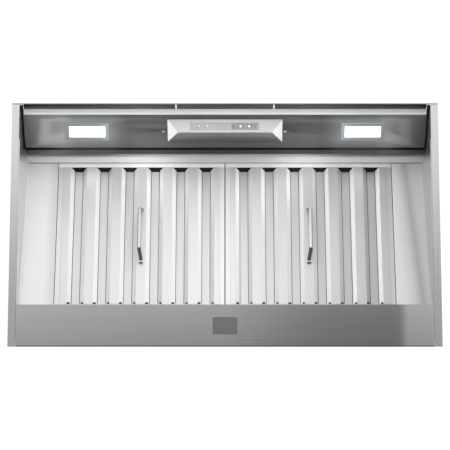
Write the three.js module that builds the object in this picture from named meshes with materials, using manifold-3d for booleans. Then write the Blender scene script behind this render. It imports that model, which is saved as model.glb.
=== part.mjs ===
// Built-in range hood insert: a stainless liner box that hangs in a cabinet, open side down.
// Millimetres, +Z up, -Y towards the cook. The origin is the middle of the rim's underside.
// Inside the top group, y is counted back from the front edge of the rim.
import * as THREE from 'three';
import { mergeVertices } from 'three/addons/utils/BufferGeometryUtils.js';
import { ConvexGeometry } from 'three/addons/geometries/ConvexGeometry.js';
import Module from 'manifold-3d';

const wasm = await Module();
wasm.setup();

// ---- driving dimensions ----
const RIM = { width: 874, depth: 519.5, flange: 15.3, sheet: 1.5, hem: 6 };
const BODY = { half: RIM.width / 2 - RIM.flange, front: 11.9, rear: 504, top: 285,
  rearBend: 40, rearTop: 428 }; // the back wall stands up to rearBend, then leans forward to rearTop
const LIP = { height: 29, half: 414.6, fold: 13.6, slotX: 100.8, slotWidth: 2 };
const BAND = { front: 432, half: 421.3, lip: 9 };
const BADGE = { width: 48.6, depth: 34.8, y: 477 };
const LAMP_PANEL = { y: 15.3, z: 29.5, length: 115, half: 415.6, flange: 11,
  tilt: THREE.MathUtils.degToRad(73) };
const LAMP = { x: 285.6, u: 54.4, lens: [74.5, 37.6], bezel: [88, 58], hole: [80, 46] };
const POD = { half: 119, ridgeHalf: 97, u0: 13.1, u1: 90.5, ridgeU: 21.5, proud: 27.6, z: 41.95 };
const POD_SCREW = { xs: { left: -127.6, right: 124.5 }, u: 52, head: 3.8, shank: 2 };
const FASCIA = { x0: -71, x1: 70, y0: 27, y1: 43 };
const BUTTON = { radius: 3.4, y: 35, xs: { fan_down: -53.6, fan_up: -37.1, light: 32.2, power: 49.9 } };
const CEILING = { z: 150, front: 14, rear: 76, half: 420.5 };
const FILTER = { y: 77.5, z: 150, slope: THREE.MathUtils.degToRad(19.3), length: 375, depth: 20,
  inner: 1, outer: 346, lip: 10, wall: 1.2 };
const BAFFLE = { count: 6, first: 39.1, pitch: 52.96, mouth: 17, slope: 7.8, height: 13, floor: 16,
  sheet: 1, flange: 17.5, flangeFoot: 8 };
const PIVOT = { y: 444, z: 30, rod: 3, clear: 0.5, ring: 6.3 };
const HANDLE = { x: 171.5, s0: 127.5, s1: 255.5, splay: 10.4, reach: 25.3, pin: 2, axis: 3.2, lean: 9.1,
  strap: [3.7, 1.6] };
const SKIRT = { foot: 420.2, draft: 0.065, sheet: 1.2, front: 77, rear: 430 };
const BLOWER = { y: 320, z: 186, half: 73, wheel: 60, wheelHalf: 65, eye: 48, tongue: 66, grow: 26,
  blades: 22, can: 36, shaft: 4 };
const CAPACITOR = { x: 130, z: 262, radius: 18, y0: 300, y1: 362 };
const DRIVER = { x0: -350, x1: -270, y0: 200, y1: 250, z: 262 }; // the lamps' power supply
const COLLAR = { y: 282.5, radius: 75, wall: 1.1, base: 287.1, height: 50, flap: 300 };
const SUPPLY = { x: 300, y: 375, bore: 5.5, barrel: 9.8, hole: 11 }; // the mains cable's way in
const JUNCTION = { half: 50, y0: 340, y1: 410, z0: 225, sheet: 1.5 };
const CABLE = { x: 60, y: 24.5, radius: 2.4 }; // where the loom runs down behind the lamp panel
const GAP = 0.3;
const SIDES = 40; // facets round the duct parts

// ---- small tools ----
const turn = Math.PI * 2;

function solid(geometry) {
  geometry.deleteAttribute('normal');
  geometry.deleteAttribute('uv');
  const merged = mergeVertices(geometry, 1e-4);
  return new wasm.Manifold(new wasm.Mesh({
    numProp: 3,
    vertProperties: new Float32Array(merged.attributes.position.array),
    triVerts: new Uint32Array(merged.index.array),
  }));
}

const join = (...bodies) => bodies.reduce((a, b) => a.add(b));
const cut = (body, ...tools) => tools.reduce((a, b) => a.subtract(b), body);

function box(x0, x1, y0, y1, z0, z1) {
  const block = new THREE.BoxGeometry(x1 - x0, y1 - y0, z1 - z0);
  return solid(block.translate((x0 + x1) / 2, (y0 + y1) / 2, (z0 + z1) / 2));
}

function extrude(outline, depth, basis) {
  const shape = new THREE.Shape(outline.map(([u, v]) => new THREE.Vector2(u, v)));
  const geometry = new THREE.ExtrudeGeometry(shape, { depth, bevelEnabled: false });
  return solid(geometry.applyMatrix4(basis));
}

// outlines are [y, z] pairs drawn along X, or [x, z] pairs drawn along Y
function alongX(outline, x0, x1) {
  const basis = new THREE.Matrix4().set(0, 0, 1, x0, 1, 0, 0, 0, 0, 1, 0, 0, 0, 0, 0, 1);
  return extrude(outline, x1 - x0, basis);
}

function alongY(outline, y0, y1) {
  const basis = new THREE.Matrix4().set(1, 0, 0, 0, 0, 0, -1, y1, 0, 1, 0, 0, 0, 0, 0, 1);
  return extrude(outline, y1 - y0, basis);
}

function drumX(y, z, radius, x0, x1, sides = 32) {
  const drum = new THREE.CylinderGeometry(radius, radius, x1 - x0, sides).rotateZ(Math.PI / 2);
  return solid(drum.translate((x0 + x1) / 2, y, z));
}

function drumY(x, z, radius, y0, y1, sides = 24) {
  const drum = new THREE.CylinderGeometry(radius, radius, y1 - y0, sides);
  return solid(drum.translate(x, (y0 + y1) / 2, z));
}

function drumZ(x, y, radius, z0, z1, sides = 32) {
  const drum = new THREE.CylinderGeometry(radius, radius, z1 - z0, sides).rotateX(Math.PI / 2);
  return solid(drum.translate(x, y, (z0 + z1) / 2));
}

// a bent sheet: the path, and the same path moved by the sheet's thickness to its left
function bent(path, thickness) {
  const points = path.map(([u, v]) => new THREE.Vector2(u, v));
  const normals = points.slice(1).map((p, i) => {
    const along = p.clone().sub(points[i]).normalize();
    return new THREE.Vector2(-along.y, along.x);
  });
  const moved = points.map((p, i) => {
    const a = normals[Math.max(i - 1, 0)];
    const b = normals[Math.min(i, normals.length - 1)];
    const mid = a.clone().add(b).normalize();
    return p.clone().addScaledVector(mid, thickness / mid.dot(a));
  });
  return [...points, ...moved.reverse()].map((p) => [p.x, p.y]);
}

function mirrored(body) {
  return body.scale([-1, 1, 1]);
}

function finish(color, roughness, metalness) {
  return new THREE.MeshStandardMaterial({ color, roughness, metalness });
}

const steel = () => finish(0xc4c5c6, 0.28, 1);
const darkSteel = () => finish(0x4b4e50, 0.25, 0.9);
const zinc = () => finish(0x9a9da0, 0.45, 0.9);
const black = () => finish(0x1b1c1d, 0.5, 0);
const white = () => finish(0xf4f6f8, 0.4, 0);

const hood = new THREE.Group();
hood.position.y = -RIM.depth / 2;

function place(name, body, material, parent = hood) {
  const { vertProperties, triVerts } = body.getMesh();
  const geometry = new THREE.BufferGeometry();
  geometry.setAttribute('position', new THREE.BufferAttribute(vertProperties, 3));
  geometry.setIndex(new THREE.BufferAttribute(triVerts, 1));
  geometry.computeVertexNormals();
  const mesh = new THREE.Mesh(geometry, material);
  mesh.name = name;
  parent.add(mesh);
  return mesh;
}

// ---- housing panels ----
function sidePanel() {
  const { half, front, rear, top } = BODY;
  const t = RIM.sheet;
  const wide = [[half, 0], [RIM.width / 2, 0], [RIM.width / 2, t], [half + t, t], [half + t, top],
    [half, top]];
  const sheet = alongY(wide, 1.8, RIM.depth);
  const aboveLip = box(half - 1, half + 3, 0, front, LIP.height + 2, top + 1);
  const edge = rear + t + GAP;
  const behindBody = alongX([[edge, t], [RIM.depth + 1, t], [RIM.depth + 1, top + 1],
    [BODY.rearTop + t + GAP, top + 1], [edge, BODY.rearBend]], half - 1, half + 3);
  const hem = box(half + GAP, RIM.width / 2, RIM.depth - t, RIM.depth, 0, RIM.hem);
  return cut(sheet, aboveLip, behindBody).add(hem);
}

function frontLip() {
  const t = RIM.sheet;
  const { height, fold: depth } = LIP;
  const fold = [[0, 0], [t, 0], [t, height], [depth, height], [depth, height + t], [0, height + t]];
  const sheet = alongX(fold, -LIP.half, LIP.half);
  const edge = box(-RIM.width / 2, RIM.width / 2, 0, t, 0, 2);
  const slots = [-1, 1].map((side) => {
    const x = side * LIP.slotX;
    return box(x - LIP.slotWidth / 2, x + LIP.slotWidth / 2, -1, 4, 2.5, LIP.height - 1);
  });
  return cut(sheet.add(edge), ...slots);
}

function frontPanel() {
  const half = BODY.half - GAP;
  return box(-half, half, BODY.front, BODY.front + RIM.sheet, LIP.height + RIM.sheet + GAP, BODY.top);
}

function rearPanel() {
  const half = BODY.half - GAP;
  const { rear, rearBend, rearTop, top } = BODY;
  const path = [[rearTop, top - 0.6], [rear, rearBend], [rear, RIM.sheet + GAP]];
  return alongX(bent(path, RIM.sheet), -half, half);
}

function topPanel() {
  const half = BODY.half + RIM.sheet;
  const z = BODY.top + GAP;
  const plate = box(-half, half, BODY.front, BODY.rearTop + RIM.sheet, z, z + RIM.sheet);
  const duct = drumZ(0, COLLAR.y, COLLAR.radius - 2, BODY.top - 5, BODY.top + 5, SIDES);
  const gland = drumZ(SUPPLY.x, SUPPLY.y, SUPPLY.hole, BODY.top - 5, BODY.top + 5, 24);
  return cut(plate, duct, gland);
}

function rearFlange() {
  const t = RIM.sheet;
  const { front, half, lip } = BAND;
  const rear = RIM.depth;
  const fold = [[front, 0], [rear, 0], [rear, RIM.hem], [rear - t, RIM.hem], [rear - t, t], [front + t, t],
    [front + t, lip], [front, lip]];
  const recess = box(-BADGE.width / 2 - GAP, BADGE.width / 2 + GAP, BADGE.y - BADGE.depth / 2 - GAP,
    BADGE.y + BADGE.depth / 2 + GAP, -1, t + 1);
  return cut(alongX(fold, -half, half), recess);
}

function badgePlate() {
  const { width, depth, y } = BADGE;
  return box(-width / 2, width / 2, y - depth / 2, y + depth / 2, 0.1, 1.4);
}

function ceilingStrip() {
  const t = RIM.sheet;
  const { z, front, rear, half } = CEILING;
  const fold = [[front, z], [rear, z], [rear, z + 8], [rear - t, z + 8], [rear - t, z + t], [front, z + t]];
  const { x, y } = CABLE;
  return cut(alongX(fold, -half, half), box(x - 10, x + 10, y - 7, y + 8, z - 5, z + 5));
}

place('left_side_panel', mirrored(sidePanel()), steel());
place('right_side_panel', sidePanel(), steel());
place('front_lip', frontLip(), steel());
place('front_panel', frontPanel(), steel());
place('rear_panel', rearPanel(), steel());
place('top_panel', topPanel(), steel());
place('rear_flange', rearFlange(), steel());
place('badge_plate', badgePlate(), finish(0x6b706e, 0.5, 0.6));
place('ceiling_strip', ceilingStrip(), steel());

// ---- filler panels: one sheet level with the filters, folded down to the rim ----
function fillerPanel() {
  const { foot, draft, sheet, front, rear } = SKIRT;
  const inner = (z) => foot - draft * z;
  const top = CEILING.z - GAP;
  const section = [[inner(1), 1], [inner(1) + sheet, 1], [inner(top) + sheet, top], [inner(top), top]];
  const skirt = alongY(section, front, rear);
  const level = box(FILTER.outer + 1.2, 430, 0, FILTER.length, 0, sheet);
  const above = box(300, 460, 0, 460, sheet, 200);
  const tilt = (body) => body.rotate([-THREE.MathUtils.radToDeg(FILTER.slope), 0, 0])
    .translate([0, FILTER.y, FILTER.z]);
  const beyond = [[inner(-50) + sheet, -50], [500, -50], [500, 300], [inner(300) + sheet, 300]];
  const outside = alongY(beyond, 0, 600);
  return join(cut(skirt, tilt(above)), cut(tilt(level), outside));
}

place('left_filler_panel', mirrored(fillerPanel()), steel());
place('right_filler_panel', fillerPanel(), steel());

// ---- lamp panel group: local y runs up the panel, local z runs into the hood ----
const lampWall = new THREE.Group();
lampWall.position.set(0, LAMP_PANEL.y, LAMP_PANEL.z);
lampWall.rotation.x = LAMP_PANEL.tilt;
hood.add(lampWall);

function lampPanel() {
  const { half, length, flange, tilt } = LAMP_PANEL;
  const t = RIM.sheet;
  const [w, h] = LAMP.hole;
  const level = [length + flange * Math.cos(tilt), -flange * Math.sin(tilt)];
  const sheet = alongX(bent([[0, 0], [length, 0], level], t), -half, half);
  const lampHoles = [-1, 1].map((side) => box(side * LAMP.x - w / 2, side * LAMP.x + w / 2,
    LAMP.u - h / 2, LAMP.u + h / 2, -1, 3));
  const cableHole = box(CABLE.x - 15, CABLE.x + 15, 32, 56, -1, 3);
  const screwHoles = Object.values(POD_SCREW.xs).map((x) =>
    drumZ(x, POD_SCREW.u, POD_SCREW.shank + 0.4, -1, 3, 16));
  return cut(sheet, ...lampHoles, cableHole, ...screwHoles);
}

function lampBezel(x) {
  const [w, h] = LAMP.bezel;
  const [lw, lh] = LAMP.lens;
  const plate = box(x - w / 2, x + w / 2, LAMP.u - h / 2, LAMP.u + h / 2, -1.8, -GAP);
  const [dx, du] = [lw / 2 + GAP, lh / 2 + GAP];
  return cut(plate, box(x - dx, x + dx, LAMP.u - du, LAMP.u + du, -3, 1));
}

function lampLens(x) {
  const [w, h] = LAMP.lens;
  return box(x - w / 2, x + w / 2, LAMP.u - h / 2, LAMP.u + h / 2, -1.4, 0.7);
}

function lampHousing(x) {
  const [w, h] = LAMP.hole;
  const block = (inset, z0, z1) => box(x - w / 2 + inset, x + w / 2 - inset,
    LAMP.u - h / 2 + inset, LAMP.u + h / 2 - inset, z0, z1);
  return cut(block(0.5, 1, 7), block(1.7, 0, 5.8));
}

function ledBoard(x) {
  const [w, h] = LAMP.lens;
  const board = box(x - w / 2, x + w / 2, LAMP.u - h / 2, LAMP.u + h / 2, 3.9, 5.4);
  const chips = [-24, -8, 8, 24].map((dx) =>
    box(x + dx - 2.5, x + dx + 2.5, LAMP.u - 2.5, LAMP.u + 2.5, 3, 4));
  return join(board, ...chips);
}

place('light_panel', lampPanel(), darkSteel(), lampWall);
for (const [name, side] of [['left', -1], ['right', 1]]) {
  const x = side * LAMP.x;
  place(`${name}_lamp_bezel`, lampBezel(x), finish(0xc9ccce, 0.4, 0.2), lampWall);
  place(`${name}_lamp_lens`, lampLens(x), white(), lampWall);
  place(`${name}_lamp_housing`, lampHousing(x), white(), lampWall);
  place(`${name}_led_board`, ledBoard(x), finish(0xe9ecea, 0.5, 0), lampWall);
}

function panelScrew(x) {
  const { u, head, shank } = POD_SCREW;
  const cap = drumZ(x, u, head, -2.4, -GAP, 20);
  const recess = box(x - 2.4, x + 2.4, u - 0.4, u + 0.4, -3, -1.5);
  return cut(cap.add(drumZ(x, u, shank, -1, 7, 16)), recess);
}

for (const [name, x] of Object.entries(POD_SCREW.xs)) {
  place(`pod_screw_${name}`, panelScrew(x), zinc(), lampWall);
}

// ---- control pod: a hipped wedge whose lower face is level ----
function podShell() {
  const { half, ridgeHalf, u0, u1, ridgeU, proud } = POD;
  const hip = (h, r, a, b, base, top, peak) => solid(new ConvexGeometry([
    [-h, a, base], [h, a, base], [-h, b, base], [h, b, base], [-r, top, peak], [r, top, peak],
  ].map((p) => new THREE.Vector3(...p))));
  const outer = hip(half, ridgeHalf, u0, u1, -GAP, ridgeU, -proud);
  const inner = hip(half - 1.8, ridgeHalf - 1.6, u0 + 1.5, u1 - 3.2, 0.5, ridgeU + 1, -proud + 2.1);
  return cut(outer, inner);
}

function podInHood() {
  const angle = THREE.MathUtils.radToDeg(LAMP_PANEL.tilt);
  const shell = podShell().rotate([angle, 0, 0]).translate([0, LAMP_PANEL.y, LAMP_PANEL.z]);
  const { x0, x1, y0, y1 } = FASCIA;
  return cut(shell, box(x0 - GAP, x1 + GAP, y0 - GAP, y1 + GAP, POD.z - 3, POD.z + 4));
}

function fascia() {
  const { x0, x1, y0, y1 } = FASCIA;
  const holes = Object.values(BUTTON.xs).map((x) => drumZ(x, BUTTON.y, BUTTON.radius + GAP, 40, 45, 20));
  return cut(box(x0, x1, y0, y1, POD.z - 0.25, POD.z + 1.2), ...holes);
}

function button(x) {
  const cap = drumZ(x, BUTTON.y, BUTTON.radius, POD.z - 1.2, POD.z + 2.2, 20);
  const flange = drumZ(x, BUTTON.y, BUTTON.radius + 1.2, POD.z + 1.5, POD.z + 2.5, 20);
  return cap.add(flange);
}

function controlBoard() {
  const board = box(-72, 76, 27.5, 41, POD.z + 5.2, POD.z + 6.8);
  const chip = box(-10, 8, 29, 37, POD.z + 6.5, POD.z + 8.5);
  return board.add(chip);
}

place('control_pod', podInHood(), steel());
place('control_fascia', fascia(), finish(0xb9bcbf, 0.3, 0.3));
place('control_board', controlBoard(), finish(0x2d5a3a, 0.6, 0));
for (const [name, x] of Object.entries(BUTTON.xs)) {
  place(`button_${name}`, button(x), white());
}

// ---- filter cassettes: local y runs down the slope from the front, local z runs into the hood ----
const filterPlane = new THREE.Group();
filterPlane.position.set(0, FILTER.y, FILTER.z);
filterPlane.rotation.x = -FILTER.slope;
hood.add(filterPlane);

const toFilter = ({ y, z }) => {
  const dy = y - FILTER.y;
  const dz = z - FILTER.z;
  const [c, s] = [Math.cos(FILTER.slope), Math.sin(FILTER.slope)];
  return { s: dy * c - dz * s, n: dy * s + dz * c };
};
const pivot = toFilter(PIVOT);
const recesses = Array.from({ length: BAFFLE.count }, (_, i) => BAFFLE.first + i * BAFFLE.pitch);

function hook(x) {
  const { ring, rod, clear } = PIVOT;
  const hoop = drumX(pivot.s, pivot.n, ring, x - 6, x + 6, 16);
  const arm = box(x - 6, x + 6, FILTER.length - 0.5, pivot.s, pivot.n - 1, pivot.n + ring);
  const mouth = box(x - 7, x + 7, pivot.s - 1.5, pivot.s + 12, pivot.n - 12, pivot.n - 1);
  const foot = box(x - 7, x + 7, FILTER.length + 3, pivot.s + 12, pivot.n - 12, pivot.n - 1.5);
  return cut(join(hoop, arm), drumX(pivot.s, pivot.n, rod + clear, x - 7, x + 7, 16), mouth, foot);
}

function filterFrame() {
  const { inner, outer, length, depth, lip, wall: t } = FILTER;
  const shell = box(inner, outer, 0, length, 0, depth);
  const channel = box(inner + t, outer - t, t, length - t, t, depth - t);
  const face = box(inner + lip, outer - lip, lip, length - lip, -1, 5);
  const back = box(inner + lip - 2, outer - lip + 2, lip - 2, length - lip + 2, depth - 5, depth + 1);
  return join(cut(shell, channel, face, back), hook(60), hook(290));
}

// the strips between recesses, each a flat with a splayed flange on every side that meets a recess
function outerBaffles() {
  const { inner, outer, length, lip } = FILTER;
  const { mouth, slope, height, sheet, pitch } = BAFFLE;
  const [front, rear] = [lip + GAP, length - lip - GAP];
  const slopeEnd = rear - 3.2;
  const edges = [inner + lip + GAP, ...recesses.flatMap((c) => [c - mouth, c + mouth]), outer - lip - GAP];
  const pieces = [];
  for (let i = 0; i < edges.length; i += 2) {
    const [a, b] = [edges[i], edges[i + 1]];
    const path = [[a, 0], [b, 0]];
    if (i > 0) path.unshift([a - slope, height]);
    if (i + 2 < edges.length) path.push([b + slope, height]);
    pieces.push(alongY(bent(path, sheet), front, slopeEnd));
    pieces.push(box(a, b, slopeEnd - 1, rear, 0, sheet));
    pieces.push(box(a + 1, b - 1, front, front + 1, 0, 2.5));
    pieces.push(box(a + 1, b - 1, lip - 1, front + 1, 1.5, 2.5));
    pieces.push(box(a + 1, b - 1, rear - 1, rear, 0, 2.5));
    pieces.push(box(a + 1, b - 1, rear - 1, rear + 2, 1.5, 2.5));
  }
  pieces.push(box(inner + 2, outer - 2, 2, lip - 0.5, 1.5, 2.5));
  pieces.push(box(inner + 2, outer - 2, rear + 1, length - 2, 1.5, 2.5));
  for (const s of [HANDLE.s0 - 5.2, HANDLE.s1 + 5.2]) {
    const lug = box(HANDLE.x - 4, HANDLE.x + 4, s - 1.3, s + 1.3, -6.4, 0.5);
    pieces.push(cut(lug, drumY(HANDLE.x, -HANDLE.axis, HANDLE.pin + 0.4, s - 3, s + 3, 16)));
  }
  return join(...pieces);
}

// the caps behind the recesses, tied by two cross bars
function innerBaffles() {
  const { floor, flange, flangeFoot, sheet } = BAFFLE;
  const [front, rear] = [FILTER.lip + GAP, FILTER.length - 4];
  const caps = recesses.map((c) => {
    const path = [[c + flange, flangeFoot], [c + flange, floor + sheet], [c - flange, floor + sheet],
      [c - flange, flangeFoot]];
    return alongY(bent(path, sheet), front, rear);
  });
  const reach = [recesses[0] - flange, recesses.at(-1) + flange];
  const bars = [14, 350].map((s) => box(reach[0], reach[1], s, s + 10, floor + sheet - 0.2, floor + 2.2));
  return join(...caps, ...bars);
}

function roundedPath(corners, radius) {
  const path = new THREE.CurvePath();
  let from = corners[0];
  for (let i = 1; i < corners.length - 1; i += 1) {
    const corner = corners[i];
    const a = corner.clone().addScaledVector(corner.clone().sub(corners[i - 1]).normalize(), -radius);
    const b = corner.clone().addScaledVector(corners[i + 1].clone().sub(corner).normalize(), radius);
    path.add(new THREE.LineCurve3(from, a));
    path.add(new THREE.QuadraticBezierCurve3(a, corner, b));
    from = b;
  }
  path.add(new THREE.LineCurve3(from, corners.at(-1)));
  return path;
}

function tube(path, [wide, thick], steps, sides) {
  const ring = Array.from({ length: sides }, (_, i) => new THREE.Vector2(
    wide * Math.cos(turn * i / sides), thick * Math.sin(turn * i / sides)));
  const shape = new THREE.Shape(ring);
  return solid(new THREE.ExtrudeGeometry(shape, { steps, extrudePath: path, bevelEnabled: false }));
}

// a flat-oval strap bent into a bow, with a round pin at each foot that turns in the filter's lug
function handleBow() {
  const { s0, s1, splay, reach, pin, strap } = HANDLE;
  const corners = [[s0, 0], [s0 + splay, -reach], [s1 - splay, -reach], [s1, 0]]
    .map(([s, n]) => new THREE.Vector3(0, s, n));
  const bow = tube(roundedPath(corners, 7), strap, 40, 12);
  const pins = [[s0 - 7.5, s0 + 1.6], [s1 - 1.6, s1 + 7.5]].map(([a, b]) => drumY(0, 0, pin, a, b, 16));
  return join(bow, ...pins);
}

for (const [name, side] of [['left', -1], ['right', 1]]) {
  const way = (body) => (side < 0 ? mirrored(body) : body);
  place(`${name}_filter_frame`, way(filterFrame()), steel(), filterPlane);
  place(`${name}_outer_baffles`, way(outerBaffles()), steel(), filterPlane);
  place(`${name}_inner_baffles`, way(innerBaffles()), steel(), filterPlane);
  const handle = place(`${name}_handle`, handleBow(), steel(), filterPlane);
  handle.position.set(side * HANDLE.x, 0, -HANDLE.axis);
  handle.rotation.y = -side * THREE.MathUtils.degToRad(HANDLE.lean);
}

// ---- filter supports: a rod at the rear that the hooks hang on, and spring catches at the front ----
function filterRail() {
  const { y, z, rod } = PIVOT;
  const rail = alongX(bent([[y + 12, z + 14], [y + 12, 1.8], [y + 34, 1.8]], RIM.sheet), -410, 410);
  const ears = [-350, 0, 350].map((x) => {
    const plate = box(x - 1.5, x + 1.5, y, y + 12, z - 5.3, z + 5.3);
    const nose = drumX(y, z, 5.3, x - 1.5, x + 1.5, 16);
    return cut(plate.add(nose), drumX(y, z, rod + GAP, x - 3, x + 3, 16));
  });
  return join(rail, ...ears);
}

function frontCatch(x) {
  const z = CEILING.z + RIM.sheet + GAP;
  const path = [[56, z], [71, z], [71, z + 12], [82.6, 168.4], [79.5, 173.5]];
  return alongX(bent(path, 0.8), x - 15, x + 15);
}

place('filter_rail', filterRail(), zinc());
place('filter_rod', drumX(PIVOT.y, PIVOT.z, PIVOT.rod, -354, 354, 16), zinc());
place('left_front_catch', frontCatch(-HANDLE.x), zinc());
place('right_front_catch', frontCatch(HANDLE.x), zinc());

// ---- blower ----
function scrollPath() {
  const points = [];
  for (let angle = 75; angle >= -180; angle -= 15) {
    const radius = BLOWER.tongue + BLOWER.grow * (75 - angle) / 255;
    const a = THREE.MathUtils.degToRad(angle);
    points.push([BLOWER.y + radius * Math.cos(a), BLOWER.z + radius * Math.sin(a)]);
  }
  const mouth = BODY.top - 1.4;
  return [[points[0][0], mouth], ...points, [points.at(-1)[0], mouth]];
}

function scrollWrap() {
  const path = scrollPath();
  const mouth = path[0][1];
  const outline = bent([[path[0][0] + 12, mouth], ...path, [path.at(-1)[0] - 12, mouth]], 1.2);
  return alongX(outline, -BLOWER.half, BLOWER.half);
}

function scrollSide() {
  const { y, z, half, eye } = BLOWER;
  const plate = alongX(scrollPath(), half + GAP, half + 1.5);
  const throat = drumX(y, z, eye + 1.2, half - 6, half + 1.5, 28);
  return cut(join(plate, throat), drumX(y, z, eye, half - 8, half + 3, 28));
}

function impeller() {
  const { y, z, wheel, wheelHalf } = BLOWER;
  const inside = wheel - 10;
  const rings = [-wheelHalf, wheelHalf - 2].map((x) =>
    cut(drumX(y, z, wheel, x, x + 2, 28), drumX(y, z, inside, x - 1, x + 3, 28)));
  const blades = Array.from({ length: BLOWER.blades }, (_, i) => {
    const blade = new THREE.BoxGeometry(wheelHalf * 2 - 2, 9, 1.2).rotateX(-0.45);
    blade.translate(0, wheel - 5.5, 0).rotateX(turn * i / BLOWER.blades);
    return solid(blade.translate(0, y, z));
  });
  const disc = cut(join(drumX(y, z, wheel - 2, -1, 1, 28), drumX(y, z, 12, -12, 12, 24)),
    drumX(y, z, BLOWER.shaft + GAP, -20, 20, 24));
  return join(disc, ...rings, ...blades);
}

function motor() {
  const { y, z, can, shaft } = BLOWER;
  const body = join(drumX(y, z, can, 14, 78, 32), drumX(y, z, can - 10, 78, 84, 24));
  return cut(body, drumX(y, z, shaft + 0.4, 10, 34, 24));
}

function motorBracket() {
  const { y, z, half } = BLOWER;
  const [x0, x1] = [half + 1.8, half + 3.8];
  const arms = [90, 210, 330].map((angle) => {
    const arm = new THREE.BoxGeometry(x1 - x0, 26, 14).translate(0, 52, 0);
    arm.rotateX(THREE.MathUtils.degToRad(angle));
    return solid(arm.translate((x0 + x1) / 2, y, z));
  });
  const ring = drumX(y, z, BLOWER.can + 8, x0, x1, 32);
  return cut(join(ring, ...arms), drumX(y, z, BLOWER.can + GAP, x0 - 1, x1 + 1, 32));
}

place('scroll_wrap', scrollWrap(), zinc());
place('scroll_side_left', mirrored(scrollSide()), zinc());
place('scroll_side_right', scrollSide(), zinc());
place('impeller', impeller(), finish(0x8d9194, 0.5, 0.7));
place('motor_shaft', drumX(BLOWER.y, BLOWER.z, BLOWER.shaft, -11, 32, 24), zinc());
place('motor', motor(), finish(0x3a3d40, 0.5, 0.4));
place('motor_bracket', motorBracket(), zinc());

// ---- electrics ----
const junctionSpan = [SUPPLY.x - JUNCTION.half, SUPPLY.x + JUNCTION.half];

function junctionBox() {
  const { y0, y1, z0, sheet: t } = JUNCTION;
  const [x0, x1] = junctionSpan;
  const z1 = BODY.top - 0.2;
  const shell = box(x0, x1, y0, y1, z0, z1);
  const hollow = box(x0 + t, x1 - t, y0 - 1, y1 - t, z0 + t, z1 - t);
  return cut(shell, hollow, drumZ(SUPPLY.x, SUPPLY.y, SUPPLY.barrel + 0.6, z1 - 5, z1 + 5, 24));
}

function junctionCover() {
  const { y0, z0 } = JUNCTION;
  const plate = box(...junctionSpan, y0 - 1.8, y0 - GAP, z0, BODY.top - 0.2);
  return cut(plate, drumY(SUPPLY.x, z0 + 30, 3.5, y0 - 3, y0 + 1, 16));
}

function cableGland() {
  const { x, y, bore, barrel } = SUPPLY;
  const seat = BODY.top + GAP + RIM.sheet + GAP;
  const body = join(drumZ(x, y, barrel, seat - 17, seat + 3, 24), drumZ(x, y, 15, seat, seat + 6, 6),
    drumZ(x, y, 12, seat + 6, seat + 16, 24));
  return cut(body, drumZ(x, y, bore, seat - 30, seat + 20, 20));
}

function capacitor() {
  const { x, z, radius, y0, y1 } = CAPACITOR;
  return drumY(x, z, radius, y0, y1, 28);
}

function lampDriver() {
  const { x0, x1, y0, y1, z } = DRIVER;
  return box(x0, x1, y0, y1, z, BODY.top - 0.2);
}

function loom() {
  const { x, y, radius } = CABLE;
  const [jx, jy, jz] = [SUPPLY.x, JUNCTION.y0, JUNCTION.z0 + 30];
  const route = [[jx, jy + 4, jz], [jx, jy - 15, jz + 2], [jx - 10, jy - 60, jz + 17], [240, 200, 274],
    [150, 90, 272], [x + 15, 40, 255], [x, y + 2, 200], [x, y, 150], [x, y + 1, 112], [x, y + 1.5, 84],
    [x, y + 5, 74], [x, y + 10, 66], [x, y + 10.4, 56]].map((p) => new THREE.Vector3(...p));
  return tube(new THREE.CatmullRomCurve3(route, false, 'centripetal'), [radius, radius], 46, 6);
}

place('run_capacitor', capacitor(), finish(0xd8dadb, 0.4, 0.1));
place('junction_box', junctionBox(), zinc());
place('junction_box_cover', junctionCover(), zinc());
place('cable_gland', cableGland(), black());
place('led_driver', lampDriver(), white());
place('wiring_loom', loom(), black());

// ---- duct collar with its two back-draught flaps ----
function ductCollar() {
  const { y, radius, wall: t, base, height, flap } = COLLAR;
  const outside = join(drumZ(0, y, radius, base, base + height, SIDES),
    drumZ(0, y, radius + 13, base, base + 1.2, SIDES));
  const bore = drumZ(0, y, radius - t, base - 1, base + height + 1, SIDES);
  const ledge = cut(drumZ(0, y, radius - t / 2, flap - 3, flap - 0.9, SIDES),
    drumZ(0, y, radius - 5, flap - 4, flap, SIDES), box(-80, 80, y - 8, y + 8, flap - 4, flap));
  const rodHoles = drumX(y, flap, 2.4, -80, 80, 20);
  return cut(join(cut(outside, bore), ledge), rodHoles);
}

function damperFlap(side) {
  const { y, radius, flap } = COLLAR;
  const disc = drumZ(0, 0, radius - 3.5, -0.5, 0.5, SIDES);
  const half = cut(disc, box(-90, 90, -90, 4.2, -2, 2));
  const starts = side > 0 ? [-58, 22] : [-36, 44];
  const knuckles = starts.map((x) =>
    join(box(x, x + 14, 2.2, 6, -0.5, 0.5), drumX(0, 0, 3.6, x, x + 14, 20)));
  const leaf = cut(join(half, ...knuckles), drumX(0, 0, 2.4, -90, 90, 20));
  return leaf.scale([1, side, 1]).translate([0, y, flap]);
}

place('duct_collar', ductCollar(), zinc());
place('damper_rod', drumX(COLLAR.y, COLLAR.flap, 2, -76.5, 76.5, 16), zinc());
place('damper_flap_front', damperFlap(-1), zinc());
place('damper_flap_rear', damperFlap(1), zinc());

export default hood;
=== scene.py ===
"""Looks for a built-in range hood insert, seen from below: brushed stainless liner, two drop-down
baffle filters, a dark lit panel with a push-button pod, and a blower under a round duct collar.
Metres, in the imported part's frame: +Z up, -Y towards the cook."""
import math

import bmesh
import bpy
from mathutils import Matrix, Vector


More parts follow.
